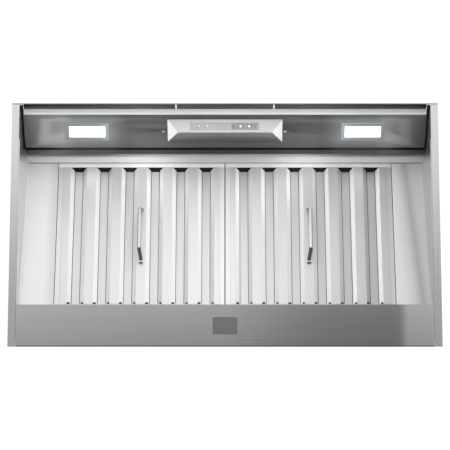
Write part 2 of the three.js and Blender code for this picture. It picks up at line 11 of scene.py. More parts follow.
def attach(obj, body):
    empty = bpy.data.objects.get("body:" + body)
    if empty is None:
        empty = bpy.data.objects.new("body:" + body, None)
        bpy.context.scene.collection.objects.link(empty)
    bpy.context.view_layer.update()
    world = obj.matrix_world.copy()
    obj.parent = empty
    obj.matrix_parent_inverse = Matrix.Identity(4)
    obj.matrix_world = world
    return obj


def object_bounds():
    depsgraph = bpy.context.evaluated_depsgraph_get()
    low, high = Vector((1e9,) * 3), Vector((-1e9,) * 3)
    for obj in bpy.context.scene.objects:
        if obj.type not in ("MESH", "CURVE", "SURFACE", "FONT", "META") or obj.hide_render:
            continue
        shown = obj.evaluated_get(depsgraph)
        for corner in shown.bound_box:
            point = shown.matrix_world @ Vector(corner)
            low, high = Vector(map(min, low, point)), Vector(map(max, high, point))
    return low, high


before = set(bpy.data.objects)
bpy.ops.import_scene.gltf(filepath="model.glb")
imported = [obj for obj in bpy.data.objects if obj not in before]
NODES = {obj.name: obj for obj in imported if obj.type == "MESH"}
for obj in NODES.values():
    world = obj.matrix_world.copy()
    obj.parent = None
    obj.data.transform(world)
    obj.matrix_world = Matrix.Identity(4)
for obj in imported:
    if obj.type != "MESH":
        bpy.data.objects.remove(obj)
CAD_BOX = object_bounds()
MM = 0.001
FRONT = CAD_BOX[0][1] / MM      # the rim's front edge in millimetres

# ---------------------------------------------------------------- camera
TILT = math.radians(18.5)
DISTANCE = 7.104
TARGET = Vector((0, 0.00355, 0))
FOCAL_LENGTH, SENSOR_WIDTH = 280, 36


def add_camera():
    """A long lens under the hood, tilted so that it looks up and towards the front."""
    lens = bpy.data.cameras.new("camera")
    lens.sensor_width = SENSOR_WIDTH
    lens.lens = FOCAL_LENGTH
    lens.clip_start, lens.clip_end = 0.05, 60
    camera = bpy.data.objects.new("camera", lens)
    bpy.context.scene.collection.objects.link(camera)
    back = Vector((0, math.sin(TILT), -math.cos(TILT)))
    up = Vector((0, -math.cos(TILT), -math.sin(TILT)))
    place = Matrix((up.cross(back), up, back)).transposed().to_4x4()
    place.translation = TARGET + back * DISTANCE
    camera.matrix_world = place
    bpy.context.scene.camera = camera
    bpy.context.scene.view_settings.view_transform = "Standard"


add_camera()


# ---------------------------------------------------------------- materials
def grey_ramp(tree, source, stops):
    """A colour ramp through (position, grey) stops that follows source."""
    ramp = tree.nodes.new("ShaderNodeValToRGB")
    while len(ramp.color_ramp.elements) < len(stops):
        ramp.color_ramp.elements.new(0.5)
    for element, (position, value) in zip(ramp.color_ramp.elements, stops):
        element.position = position
        element.color = (value, value, value, 1)
    tree.links.new(source, ramp.inputs["Fac"])
    return ramp.outputs["Color"]


class Nodes:
    """A material's node tree with short calls for the nodes used here."""

    def __init__(self, name):
        self.material = bpy.data.materials.new(name)
        self.material.use_nodes = True
        self.tree = self.material.node_tree
        self.shader = self.tree.nodes["Principled BSDF"]
        self.coords = self.tree.nodes.new("ShaderNodeTexCoord").outputs["Object"]

    def put(self, kind, **values):
        """A new node, with its properties or its input values set by name."""
        node = self.tree.nodes.new(kind)
        for key, value in values.items():
            if hasattr(node, key):
                setattr(node, key, value)
            else:
                node.inputs[key.replace("_", " ")].default_value = value
        return node

    def link(self, a, b):
        self.tree.links.new(a, b)

    def noise(self, scale, stretch=(1, 1, 1), turn=(0, 0, 0), detail=3, roughness=0.5):
        """Noise in the part's own coordinates, turned and then stretched."""
        turned = self.put("ShaderNodeMapping")
        turned.inputs["Rotation"].default_value = turn
        self.link(self.coords, turned.inputs["Vector"])
        mapping = self.put("ShaderNodeMapping")
        mapping.inputs["Scale"].default_value = stretch
        self.link(turned.outputs["Vector"], mapping.inputs["Vector"])
        node = self.put("ShaderNodeTexNoise")
        node.inputs["Scale"].default_value = scale
        node.inputs["Detail"].default_value = detail
        node.inputs["Roughness"].default_value = roughness
        self.link(mapping.outputs["Vector"], node.inputs["Vector"])
        return node.outputs["Fac"]

    def spread(self, source, low, high, lo=0.3, hi=0.7):
        """source, taken from lo..hi to low..high."""
        node = self.put("ShaderNodeMapRange")
        for key, value in (("From Min", lo), ("From Max", hi), ("To Min", low), ("To Max", high)):
            node.inputs[key].default_value = value
        self.link(source, node.inputs["Value"])
        return node.outputs["Result"]

    def tint(self, source, dark, light, lo=0.3, hi=0.7):
        """A colour between dark and light as source goes from lo to hi."""
        ramp = self.put("ShaderNodeValToRGB")
        ramp.color_ramp.elements[0].position = lo
        ramp.color_ramp.elements[1].position = hi
        ramp.color_ramp.elements[0].color = (*dark, 1)
        ramp.color_ramp.elements[1].color = (*light, 1)
        self.link(source, ramp.inputs["Fac"])
        return ramp.outputs["Color"]

    def bump(self, source, distance, strength=1.0):
        """Relief from source, over any relief the shader already has."""
        node = self.put("ShaderNodeBump")
        node.inputs["Distance"].default_value = distance
        node.inputs["Strength"].default_value = strength
        self.link(source, node.inputs["Height"])
        previous = self.shader.inputs["Normal"]
        if previous.is_linked:
            self.link(previous.links[0].from_socket, node.inputs["Normal"])
        self.link(node.outputs["Normal"], previous)

    def axis(self, index):
        split = self.put("ShaderNodeSeparateXYZ")
        self.link(self.coords, split.inputs[0])
        return split.outputs[index]

    def math(self, operation, a, b=0.0):
        node = self.put("ShaderNodeMath", operation=operation)
        for socket, value in zip(node.inputs, (a, b)):
            if isinstance(value, (int, float)):
                socket.default_value = value
            else:
                self.link(value, socket)
        return node.outputs[0]

    def sideways(self):
        """1 on faces that look along X, 0 on level ones."""
        split = self.put("ShaderNodeSeparateXYZ")
        geometry = self.put("ShaderNodeNewGeometry")
        self.link(geometry.outputs["True Normal"], split.inputs[0])
        size = self.math("ABSOLUTE", split.outputs[0])
        return self.spread(size, 0, 1, 0.3, 0.7)

    def facing(self):
        """1 on faces that look to +X, 0 on those that look to -X."""
        split = self.put("ShaderNodeSeparateXYZ")
        self.link(self.put("ShaderNodeNewGeometry").outputs["True Normal"], split.inputs[0])
        return self.spread(split.outputs[0], 0, 1, -0.2, 0.2)

    def along(self, direction):
        """The distance along a direction, in metres."""
        dot = self.put("ShaderNodeVectorMath", operation="DOT_PRODUCT")
        self.link(self.coords, dot.inputs[0])
        dot.inputs[1].default_value = direction
        return dot.outputs["Value"]

    def fade(self, direction, stops):
        """A grey factor that follows the stops along one direction, in metres."""
        low, high = stops[0][0], stops[-1][0]
        reach = self.spread(self.along(direction), 0, 1, low, high)
        return grey_ramp(self.tree, reach, [((place - low) / (high - low), value) for place, value in stops])

    def mix(self, factor, a, b):
        """Colour a where factor is 0 and b where it is 1."""
        node = self.put("ShaderNodeMix", data_type="RGBA")
        for key, value in (("Factor", factor), ("A", a), ("B", b)):
            socket = [s for s in node.inputs if s.name == key and s.enabled][0]
            if isinstance(value, (int, float)):
                socket.default_value = value
            elif isinstance(value, tuple):
                socket.default_value = (*value, 1)
            else:
                self.link(value, socket)
        return [s for s in node.outputs if s.enabled][0]

    def times(self, a, b):
        node = self.put("ShaderNodeMix", data_type="RGBA", blend_type="MULTIPLY")
        node.inputs["Factor"].default_value = 1.0
        for key, value in (("A", a), ("B", b)):
            self.link(value, [s for s in node.inputs if s.name == key and s.enabled][0])
        return [s for s in node.outputs if s.enabled][0]

    def fixed(self, **values):
        """Values that are the same all over the surface."""
        for key, value in values.items():
            self.shader.inputs[key.replace("_", " ")].default_value = value
        return self


# directions, and how the filters and the lamp panel lean from level
X, Y, Z = (1, 0, 0), (0, 1, 0), (0, 0, 1)
SLOPE = math.radians(19.3)
LEAN = math.radians(73)
DOWN_SLOPE = (0, math.cos(SLOPE), -math.sin(SLOPE))      # -0.2215 at the front edge of a filter
DIAGONAL = (1, -0.085, 0)
SKIRT_FRONT = (0, 1, 0.35)

# stretch of the brushing noise, and its turn on the sloping sheets
ALONG_X = (6, 900, 900)
ALONG_Y = (900, 6, 900)
FILTER_TURN = (SLOPE, 0, 0)
PANEL_TURN = (-LEAN, 0, 0)
COARSE_SCALE = 0.28
COARSE_SHARE = 0.6
CLOUD_SCALE = 7.0

# the lamps' glow on the panel: centres at +-LAMP_X and GLOW_Z, even over a rectangle, gone past GLOW_REACH
LAMP_X = 0.2856
GLOW_Z = 0.0815
GLOW_HALF = (0.044, 0.027)
GLOW_REACH = 0.05
GLOW_STRENGTH = 0.17


def grey(value):
    return (value, value, value)


def brushed(name, tone, rough, grain, turn=(0, 0, 0), metallic=1.0, depth=0.00001, contrast=0.03,
            cloud=0.03, spread=0.04, folds=None, zones=(), fold_zones=()):
    """Brushed sheet metal: long fine scratches in tone, roughness and height over soft cloudy variation.
    folds = (tone, metallic) of the faces folded sideways, a tone of their own that paints them lighter or
    darker than the level faces (painted light and shade). zones and fold_zones are painted light and shade:
    they
    fade the level and the folded faces: each is ((x, y, z) direction, [(metres along it, factor), ...]).
    fold_zones can be a dict with one zone for the folds that look left and one for those that look right."""
    m = Nodes(name)
    fine = m.noise(1.0, grain, turn, detail=2)
    coarse = m.noise(COARSE_SCALE, grain, turn, detail=2, roughness=0.6)
    soft = m.noise(CLOUD_SCALE, detail=2)
    scratches = m.math("ADD", m.math("MULTIPLY", coarse, COARSE_SHARE),
                       m.math("MULTIPLY", fine, 1 - COARSE_SHARE))
    clouds = m.math("MULTIPLY", soft, 0.4 * cloud / contrast)
    cloudy = m.math("ADD", clouds, scratches)
    colour = m.tint(cloudy, grey(tone - contrast), grey(tone + contrast), 0.3, 0.9)
    for zone in zones:
        colour = m.times(colour, m.fade(*zone))
    m.fixed(Metallic=metallic)
    if folds:
        fold_tone, fold_metal = folds
        folded = m.tint(cloudy, grey(fold_tone - contrast), grey(fold_tone), 0.3, 0.9)
        if isinstance(fold_zones, dict):
            left, right = m.fade(*fold_zones["left"]), m.fade(*fold_zones["right"])
            folded = m.times(folded, m.mix(m.facing(), left, right))
        else:
            for zone in fold_zones:
                folded = m.times(folded, m.fade(*zone))
        side = m.sideways()
        colour = m.mix(side, colour, folded)
        m.link(m.spread(side, metallic, fold_metal, 0, 1), m.shader.inputs["Metallic"])
    m.link(colour, m.shader.inputs["Base Color"])
    m.link(m.spread(scratches, rough - spread, rough + spread), m.shader.inputs["Roughness"])
    m.bump(scratches, depth, 0.5)
    return m.material


def moulded(name, colour, rough, grain=900, depth=0.00003, metallic=0.0, **extra):
    """Moulded or painted surface with a fine texture and slight tone variation."""
    m = Nodes(name)
    fine = m.noise(grain, detail=3)
    soft = m.noise(18, detail=2)
    dark = tuple(c * 0.93 for c in colour)
    light = tuple(min(1.0, c * 1.05) for c in colour)
    m.link(m.tint(soft, dark, light), m.shader.inputs["Base Color"])
    m.link(m.spread(fine, rough - 0.05, rough + 0.05), m.shader.inputs["Roughness"])
    m.bump(fine, depth, 0.4)
    m.fixed(Metallic=metallic, **extra)
    return m.material


def galvanised(name, tone=0.56, crystals=95):
    """Zinc-coated sheet, with its crystals as patches of tone and roughness."""
    m = Nodes(name)
    cells = m.put("ShaderNodeTexVoronoi")
    cells.inputs["Scale"].default_value = crystals
    m.link(m.coords, cells.inputs["Vector"])
    shade = m.put("ShaderNodeSeparateColor")
    m.link(cells.outputs["Color"], shade.inputs["Color"])
    colour = m.tint(shade.outputs["Red"], grey(tone * 0.84), grey(tone * 1.1), 0.0, 1.0)
    m.link(colour, m.shader.inputs["Base Color"])
    m.link(m.spread(shade.outputs["Green"], 0.34, 0.52, 0, 1), m.shader.inputs["Roughness"])
    m.bump(m.noise(420, detail=3), 0.00002, 0.3)
    m.fixed(Metallic=0.85)
    return m.material


# painted light: the dark panel paler towards its ends, most at the left end
PANEL_PAINTED_LIGHT = [(-0.42, 5.5), (-0.36, 4.5), (-0.31, 2.0), (-0.20, 0.95), (0.15, 0.85), (0.20, 0.9),
               (0.31, 1.6), (0.36, 3.2), (0.42, 3.2)]
# painted shade: a dark line along the panel's top fold, and the flange behind it darker than the panel
FOLD_PAINTED_SHADE = [(0.0, 1.0), (0.1345, 1.0), (0.1365, 0.06), (0.14, 0.06)]
FLANGE_PAINTED_SHADE = [(-0.30, 0.0), (-0.2087, 0.0), (-0.2075, 0.72), (-0.19, 0.72)]


def past(m, index, centre, half):
    """How far a point is outside centre - half to centre + half along one axis, or 0 inside it."""
    away = m.math("ABSOLUTE", m.math("SUBTRACT", m.axis(index), centre))
    return m.math("MAXIMUM", m.math("SUBTRACT", away, half), 0.0)


def dark_panel(name):
    """Dark satin sheet, with painted light that makes it paler towards its ends, a painted shade line along
    its top fold, painted shade on its rear flange, and the lamps' glow.
    """
    m = Nodes(name)
    fine = m.noise(1.0, ALONG_X, PANEL_TURN, detail=2)
    soft = m.noise(9.0, detail=3)
    sheen = m.mix(0.4, m.tint(soft, (0.132, 0.135, 0.138), (0.148, 0.153, 0.157)),
                  m.tint(fine, (0.136, 0.138, 0.141), (0.154, 0.157, 0.159)))
    # painted shade along the top fold and on the rear flange, and painted light towards the panel's ends
    folded = m.math("MAXIMUM", m.fade(Z, FOLD_PAINTED_SHADE), m.fade(Y, FLANGE_PAINTED_SHADE))
    m.link(m.times(m.times(sheen, m.fade(X, PANEL_PAINTED_LIGHT)), folded), m.shader.inputs["Base Color"])
    m.link(m.spread(fine, 0.44, 0.48), m.shader.inputs["Roughness"])
    m.bump(fine, 0.000004, 0.3)
    glow = 0.0
    for x in (-LAMP_X, LAMP_X):
        away, over = past(m, 0, x, GLOW_HALF[0]), past(m, 2, GLOW_Z, GLOW_HALF[1])
        square = m.math("ADD", m.math("MULTIPLY", away, away), m.math("MULTIPLY", over, over))
        near = m.spread(m.math("SQRT", square), 1, 0, 0, GLOW_REACH)
        glow = m.math("ADD", m.math("POWER", near, 2.0), glow)
    m.link(m.math("MULTIPLY", glow, GLOW_STRENGTH), m.shader.inputs["Emission Strength"])
    m.fixed(Metallic=0.7, Emission_Color=(0.93, 0.97, 1.0, 1))
    return m.material


def lit(name, colour, strength, rough=0.35):
    """A surface that glows in its own colour."""
    m = Nodes(name)
    soft = m.noise(260, detail=2)
    m.link(m.spread(soft, rough - 0.05, rough + 0.05), m.shader.inputs["Roughness"])
    m.bump(soft, 0.00002, 0.2)
    m.fixed(Base_Color=(*colour, 1), Emission_Color=(*colour, 1), Emission_Strength=strength)
    return m.material


STEEL = brushed("steel_grain_y", 0.66, 0.24, ALONG_Y, metallic=0.8)
# painted reflection on the rear band: darker towards the right, with a lighter step near its right end
BAND_PAINTED_REFLECTION = [(-0.42, 1.28), (-0.25, 1.16), (0.0, 1.0), (0.12, 0.78), (0.20, 0.68), (0.335, 0.62),
              (0.352, 0.66), (0.368, 1.25), (0.42, 1.3)]
# painted shade: the band a little darker towards the rear, and much darker on its hem's rear face
BAND_PAINTED_SHADE = [(0.17, 1.08), (0.2578, 0.92), (0.2584, 0.45), (0.26, 0.45)]
BAND = brushed("steel_rear_band", 0.56, 0.30, ALONG_X, metallic=0.9, contrast=0.02,
               zones=[(X, BAND_PAINTED_REFLECTION), (Y, BAND_PAINTED_SHADE)])
# painted shade: the ceiling strip darker towards the right
CEILING = brushed("steel_ceiling", 0.67, 0.40, ALONG_X, metallic=0.5, spread=0.03,
                  zones=[(X, [(-0.42, 1.0), (0.0, 1.0), (0.2, 0.85), (0.42, 0.72)])])
# painted light across the lip's fold: lighter at both ends, most at the left
LIP_PAINTED_LIGHT = [(-0.42, 1.6), (-0.1, 0.9), (0.1, 0.86), (0.42, 1.2)]
LIP_EDGE = [(0.0, 0.06), (0.0012, 0.06), (0.0022, 1.0), (0.031, 1.0)]
LIP = brushed("steel_front_lip", 0.70, 0.34, ALONG_X, metallic=0.0, zones=[(X, LIP_PAINTED_LIGHT), (Z, LIP_EDGE)])
OUTER = brushed("steel_outer", 0.52, 0.36, ALONG_X, metallic=0.9)
OUTER_TOP = brushed("steel_outer_top", 0.50, 0.38, ALONG_Y, metallic=0.9)
# painted shade: the filters darker towards the right
FILTER_PAINTED_SHADE = (X, [(-0.36, 1.0), (0.0, 1.0), (0.10, 0.92), (0.20, 0.84), (0.36, 0.70)])
# painted light on the baffles' sloping folds: those that look left and those that look right are lit
# differently across the hood
RIGHT_FOLDS_PAINTED_LIGHT = [(-0.36, 0.95), (0.04, 0.95), (0.15, 0.85), (0.25, 0.62), (0.34, 0.48)]
LEFT_FOLDS_PAINTED_LIGHT = [(-0.36, 1.0), (-0.2, 0.92), (-0.1, 0.72), (0.04, 0.62), (0.15, 0.80), (0.25, 0.96),
              (0.34, 1.0)]
# the slopes' pale fold tone (0.98) is a painted highlight
FILTER = brushed("steel_filter", 0.66, 0.36, ALONG_Y, FILTER_TURN, metallic=0.6, contrast=0.02,
                 folds=(0.98, 0.3), zones=[FILTER_PAINTED_SHADE],
                 fold_zones={"left": (X, LEFT_FOLDS_PAINTED_LIGHT), "right": (X, RIGHT_FOLDS_PAINTED_LIGHT)})
# painted light: the frame's front strip paler
FRAME_FRONT_PAINTED_LIGHT = (DOWN_SLOPE, [(-0.222, 1.6), (-0.212, 1.6), (-0.210, 1.0), (0.16, 1.0)])
FRAME = brushed("steel_filter_frame", 0.66, 0.36, ALONG_Y, FILTER_TURN, metallic=0.5, contrast=0.02,
                zones=[FILTER_PAINTED_SHADE, FRAME_FRONT_PAINTED_LIGHT])
# painted shade: the inner baffle caps darker towards the right
INNER_PAINTED_SHADE = (X, [(-0.36, 1.0), (0.0, 0.95), (0.10, 0.88), (0.20, 0.76), (0.36, 0.58)])
FILTER_CAP = brushed("steel_filter_cap", 0.60, 0.40, ALONG_Y, FILTER_TURN, metallic=0.5, zones=[INNER_PAINTED_SHADE])
# painted shade on the filler panels: darker next to the left filter, and darker towards the right
FILLER_PAINTED_SHADE = (X, [(-0.42, 1.0), (-0.37, 1.0), (-0.348, 0.80), (0.348, 0.84), (0.42, 0.72)])
# painted light: the filler panels paler towards the front
FILLER_FRONT_PAINTED_LIGHT = (Y, [(-0.19, 1.22), (-0.10, 1.1), (0.0, 1.0)])
# painted reflection: a dark diagonal band across the right filler panel
FILLER_PAINTED_REFLECTION = (DIAGONAL, [(0.355, 1.0), (0.373, 0.88), (0.389, 0.62), (0.402, 0.9), (0.42, 1.0)])
SKIRT_SHADE = (SKIRT_FRONT, [(-0.165, 0.10), (-0.15, 0.18), (-0.13, 1.0)])
# the skirts' fade along SKIRT_SHADE and their darker right side are painted shade
FILLER = brushed("steel_filler", 0.72, 0.40, ALONG_Y, FILTER_TURN, metallic=0.45, contrast=0.02,
                 folds=(0.70, 0.5), zones=[FILLER_PAINTED_SHADE, FILLER_FRONT_PAINTED_LIGHT, FILLER_PAINTED_REFLECTION],
                 fold_zones=[SKIRT_SHADE, (X, [(-0.42, 1.0), (0.42, 0.8)])])
# painted shade: the strap dark on its lower leg, and its sides kept dark by the fold tone 0.10
STRAP_LEG_SHADE = (DOWN_SLOPE, [(-0.15, 1.0), (0.0205, 1.0), (0.0225, 0.12), (0.028, 0.26), (0.05, 0.16)])
STRAP_LEG_SHADE_EDGES = (DOWN_SLOPE, [(-0.15, 1.0), (0.0205, 1.0), (0.0225, 0.4), (0.05, 0.4)])
STRAP = brushed("steel_strap", 0.64, 0.32, ALONG_Y, metallic=0.6, contrast=0.02, spread=0.03,
                folds=(0.10, 0.6), zones=[STRAP_LEG_SHADE], fold_zones=[STRAP_LEG_SHADE_EDGES])
# painted light on the pod: its lower face paler and its bevels darker; the hips' pale fold tone (0.86) is a
# painted highlight
POD_PAINTED_LIGHT = (Z, [(0.0, 1.32), (0.0425, 1.32), (0.0445, 0.62), (0.12, 0.62)])
POD = brushed("steel_pod", 0.44, 0.30, ALONG_X, metallic=0.7, contrast=0.008, cloud=0.0, spread=0.01,
              depth=0.0, folds=(0.86, 0.3), zones=[POD_PAINTED_LIGHT])
DARK = dark_panel("dark_panel")
STRIP = brushed("dark_strip", 0.035, 0.5, ALONG_X, metallic=0.0, contrast=0.005)
# painted shade: dark sheet on the side walls beside the lamp panel
WING_WALL_SHADE = brushed("wing_wall_shade", 0.10, 0.4, ALONG_X, metallic=0.5, contrast=0.01)
FASCIA = moulded("fascia_film", (0.33, 0.335, 0.34), 0.34, metallic=0.3)
BUTTON = moulded("button_cap", (0.37, 0.375, 0.38), 0.4, metallic=0.2)
MARK = moulded("button_mark", (0.86, 0.87, 0.88), 0.4)
BADGE = moulded("badge_grey", (0.085, 0.093, 0.090), 0.5, grain=500)
BEZEL = lit("lamp_bezel", (0.36, 0.39, 0.41), 0.10, 0.4)
LENS = lit("lamp_lens", (0.97, 0.985, 1.0), 1.2, 0.3)
LAMP_BOX = moulded("lamp_box", (0.8, 0.81, 0.82), 0.45)
LED_BOARD = moulded("led_board", (0.85, 0.86, 0.82), 0.4)
BOARD = moulded("circuit_board", (0.04, 0.18, 0.08), 0.45)
SCREW = brushed("zinc_screw", 0.60, 0.30, ALONG_X, metallic=1.0)
ZINC = galvanised("galvanised")
BRIGHT = brushed("bright_rod", 0.66, 0.20, ALONG_X, metallic=1.0)
SPRING = brushed("spring_strip", 0.42, 0.30, ALONG_X, metallic=1.0)
ALLOY = brushed("alloy_wheel", 0.58, 0.35, ALONG_X, metallic=1.0)
MOTOR = moulded("motor_paint", (0.05, 0.05, 0.055), 0.42, grain=600)
CAPACITOR = moulded("capacitor_can", (0.78, 0.79, 0.79), 0.4)
NYLON = moulded("black_nylon", (0.02, 0.02, 0.022), 0.5)
JACKET = moulded("cable_jacket", (0.016, 0.016, 0.018), 0.55)
CASE = moulded("driver_case", (0.8, 0.8, 0.78), 0.45)
# black for seals, and for pieces that stand in for shade (painted shade)
FOAM_AND_SHADE = moulded("seal_and_shade_foam", (0.006, 0.006, 0.006), 0.9, grain=1500)
# grey of the painted shade lines at the foot of the slopes
SLOPE_FOOT_SHADE_GREY = moulded("slope_foot_shade_grey", (0.07, 0.07, 0.07), 0.6)
WINDOW = moulded("window_film", (0.30, 0.305, 0.31), 0.3, metallic=0.3)

LOOKS = {
    "left_side_panel": STEEL, "right_side_panel": STEEL, "front_lip": LIP,
    "front_panel": OUTER, "rear_panel": OUTER, "top_panel": OUTER_TOP, "rear_flange": BAND,
    "badge_plate": BADGE, "ceiling_strip": CEILING, "left_filler_panel": FILLER,
    "right_filler_panel": FILLER, "light_panel": DARK, "left_lamp_bezel": BEZEL,
    "right_lamp_bezel": BEZEL, "left_lamp_lens": LENS, "right_lamp_lens": LENS,
    "left_lamp_housing": LAMP_BOX, "right_lamp_housing": LAMP_BOX, "left_led_board": LED_BOARD,
    "right_led_board": LED_BOARD, "pod_screw_left": SCREW, "pod_screw_right": SCREW,
    "control_pod": POD, "control_fascia": FASCIA, "control_board": BOARD,
    "button_fan_down": BUTTON, "button_fan_up": BUTTON, "button_light": BUTTON,
    "button_power": BUTTON, "left_filter_frame": FRAME, "right_filter_frame": FRAME,
    "left_outer_baffles": FILTER, "right_outer_baffles": FILTER, "left_inner_baffles": FILTER_CAP,
    "right_inner_baffles": FILTER_CAP, "left_handle": STRAP, "right_handle": STRAP,
    "filter_rail": ZINC, "filter_rod": BRIGHT, "left_front_catch": SPRING,
    "right_front_catch": SPRING, "scroll_wrap": ZINC, "scroll_side_left": ZINC,
    "scroll_side_right": ZINC, "impeller": ALLOY, "motor_shaft": BRIGHT, "motor": MOTOR,
    "motor_bracket": ZINC, "run_capacitor": CAPACITOR, "junction_box": ZINC,
    "junction_box_cover": ZINC, "cable_gland": NYLON, "led_driver": CASE, "wiring_loom": JACKET,
    "duct_collar": ZINC, "damper_rod": BRIGHT, "damper_flap_front": ZINC, "damper_flap_rear": ZINC,
}
# edges that fold by more than this are rounded, and faces within FLAT_ANGLE are joined first
EDGE_ANGLE = math.radians(30)
FLAT_ANGLE = math.radians(0.6)
# metres: how wide the edges of a CAD node are rounded, and the gap that is welded shut
EDGE_ROUND = 0.00025
SOFT_EDGE = {"light_panel": 0.0, "left_lamp_lens": 0.0003, "right_lamp_lens": 0.0003, "wiring_loom": 0.0}
WELD_GAP = 0.000002


def dress(name, node):
    """Gives a CAD node its material, welded faces and slightly rounded edges."""
    mesh = node.data
    mesh.materials.clear()
    mesh.materials.append(LOOKS[name])
    if "custom_normal" in mesh.attributes:
        mesh.attributes.remove(mesh.attributes["custom_normal"])
    for polygon in mesh.polygons:
        polygon.use_smooth = True
    weld = node.modifiers.new("weld", "WELD")
    weld.merge_threshold = WELD_GAP
    flat = node.modifiers.new("flats", "DECIMATE")
    flat.decimate_type = "DISSOLVE"
    flat.angle_limit = FLAT_ANGLE
    bevel = node.modifiers.new("edges", "BEVEL")
    bevel.width = SOFT_EDGE.get(name, EDGE_ROUND)
    bevel.segments = 2
    bevel.limit_method = "ANGLE"
    bevel.angle_limit = EDGE_ANGLE
    bevel.harden_normals = True
    bevel.use_clamp_overlap = True


for node_name, cad_node in NODES.items():
    dress(node_name, cad_node)


# ---------------------------------------------------------------- small pieces the CAD leaves out
# In millimetres: the filters' front edge, the lamp panel's foot, and where pieces sit on the hood.
FILTER_EDGE = Vector((0, 77.5, 150))
PANEL_FOOT = Vector((0, 15.3, 29.5))
INTO_FILTER = Vector((0, math.sin(SLOPE), math.cos(SLOPE)))
SIDES = (("left", -1), ("right", 1))
PITCH = 52.96
RECESSES = [39.1 + PITCH * i for i in range(6)]      # middles of a filter's recesses, from the hood's middle
MOUTH_HALF, FLOOR_HALF = 23.2, 16.6                  # half the width of a recess's front end, low and high
END_LOW, END_KNEE, END_HIGH = 2.8, 7.0, 18.2         # its heights above the filter's face
DRAIN_LEFT, DRAIN_RIGHT = (13.5, 3.1), (14.2, 2.0)   # distance from a recess's middle, and half the width
DRAIN_FOOT = (360.4, 364.7)                          # where a drain slot starts and ends down the filter
FOOT_SHADE_LINE, FOOT_SHADE_LINE_HALF = 8.4, 0.5                       # distance of a painted shade line, and half its width
RIVETS_ACROSS, RIVETS_DOWN = (6, 341), (6, 187, 369)
FILTER_BACK = 20.0
LIP_TABS = (99.4, 102.2)                             # the gaps for two tabs in the lip's dark strip
SIDE_WALL, FRONT_WALL, REAR_WALL, TOP_WALL = 423.3, 11.85, 505.6, 286.85
SHEET_SCREW = (3.6, 1.8)                             # radius and height of a head on the walls
BUTTON_Y, BUTTON_FACE, FILM_Z = 35, 40.76, 41.60
KEYS = (("fan_down_key", -53.6, 1.3), ("fan_up_key", -37.1, 1.3), ("light_key", 32.2, 1.9),
        ("power_key", 49.9, 1.9))
COLLAR_Y = 282.5
COLLAR_SCREW_RING, COLLAR_SCREWS = 81.5, 8
COLLAR_FLANGE_TOP = 288.35
BEAD = [(74.95, 319.6), (76.2, 320.5), (76.2, 322.1), (74.95, 323.0)]      # (radius, z) round the collar
BEAD_STEPS = 60


def hood(x, y, z):
    """Millimetres, with y counted back from the rim's front edge."""
    return Vector((x, y + FRONT, z)) * MM


def on_filter(x, s, n):
    """s runs down a filter from its front, n into it."""
    return hood(x, FILTER_EDGE.y + s * math.cos(SLOPE) + n * math.sin(SLOPE),
                FILTER_EDGE.z - s * math.sin(SLOPE) + n * math.cos(SLOPE))


def on_panel(x, u, n):
    """u runs up the lamp panel, n out of its dark face."""
    return hood(x, PANEL_FOOT.y + u * math.cos(LEAN) + n * math.sin(LEAN),
                PANEL_FOOT.z + u * math.sin(LEAN) - n * math.cos(LEAN))


def add_piece(name, solids, material, body, bevel=0.0001):
    """One mesh from several (points, faces) solids, its edges softened, riding on a body."""
    work = bmesh.new()
    for points, faces in solids:
        corners = [work.verts.new(p) for p in points]
        for face in faces:
            work.faces.new([corners[i] for i in face])
    bmesh.ops.recalc_face_normals(work, faces=work.faces)
    mesh = bpy.data.meshes.new(name)
    work.to_mesh(mesh)
    work.free()
    for polygon in mesh.polygons:
        polygon.use_smooth = True
    mesh.materials.append(material)
    thing = bpy.data.objects.new(name, mesh)
    bpy.context.scene.collection.objects.link(thing)
    if bevel:
        soft = thing.modifiers.new("edges", "BEVEL")
        soft.width = bevel
        soft.segments = 2
        soft.limit_method = "ANGLE"
        soft.angle_limit = EDGE_ANGLE
        soft.harden_normals = True
    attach(thing, body)


def prism(outline, a, b, put):
    """An outline of (u, v) pulled from a to b; put(u, v, w) gives each point its place."""
    count = len(outline)
    points = [put(u, v, a) for u, v in outline] + [put(u, v, b) for u, v in outline]
    faces = [tuple(reversed(range(count))), tuple(range(count, 2 * count))]
    faces += [(i, (i + 1) % count, count + (i + 1) % count, count + i) for i in range(count)]
    return points, faces


def lathe(profile, centre, axis, sides=20):
    """A turned solid: (radius, height) pairs round an axis, closed at both ends."""
    axis = Vector(axis).normalized()
    across = axis.orthogonal().normalized()
    beside = axis.cross(across)
    points, faces = [], []
    for radius, height in profile:
        for i in range(sides):
            turn = math.tau * i / sides
            outward = across * math.cos(turn) + beside * math.sin(turn)
            points.append(centre + (axis * height + outward * radius) * MM)
    last = (len(profile) - 1) * sides
    for low in range(0, last, sides):
        high = low + sides
        for i in range(sides):
            j = (i + 1) % sides
            faces.append((low + i, low + j, high + j, high + i))
    faces.append(tuple(reversed(range(sides))))
    faces.append(tuple(range(last, last + sides)))
    return points, faces


def screw(centre, axis, radius, tall):
    """A domed head with a round driver socket, standing on the surface at centre."""
    r, h = radius, tall
    return lathe([(r, 0.05), (r, h * 0.3), (r * 0.86, h * 0.72), (r * 0.55, h * 0.97), (r * 0.42, h),
                  (r * 0.36, h * 0.45), (r * 0.2, h * 0.4)], centre, axis)


def rounded(x0, x1, y0, y1, r, steps=4):
    """A rectangle with rounded corners, as a loop of points."""
    loop = []
    middles = ((x1 - r, y1 - r), (x0 + r, y1 - r), (x0 + r, y0 + r), (x1 - r, y0 + r))
    for quarter, (cx, cy) in enumerate(middles):
        for i in range(steps + 1):
            turn = math.radians(90 * (quarter + i / steps))
            loop.append((cx + r * math.cos(turn), cy + r * math.sin(turn)))
    return loop


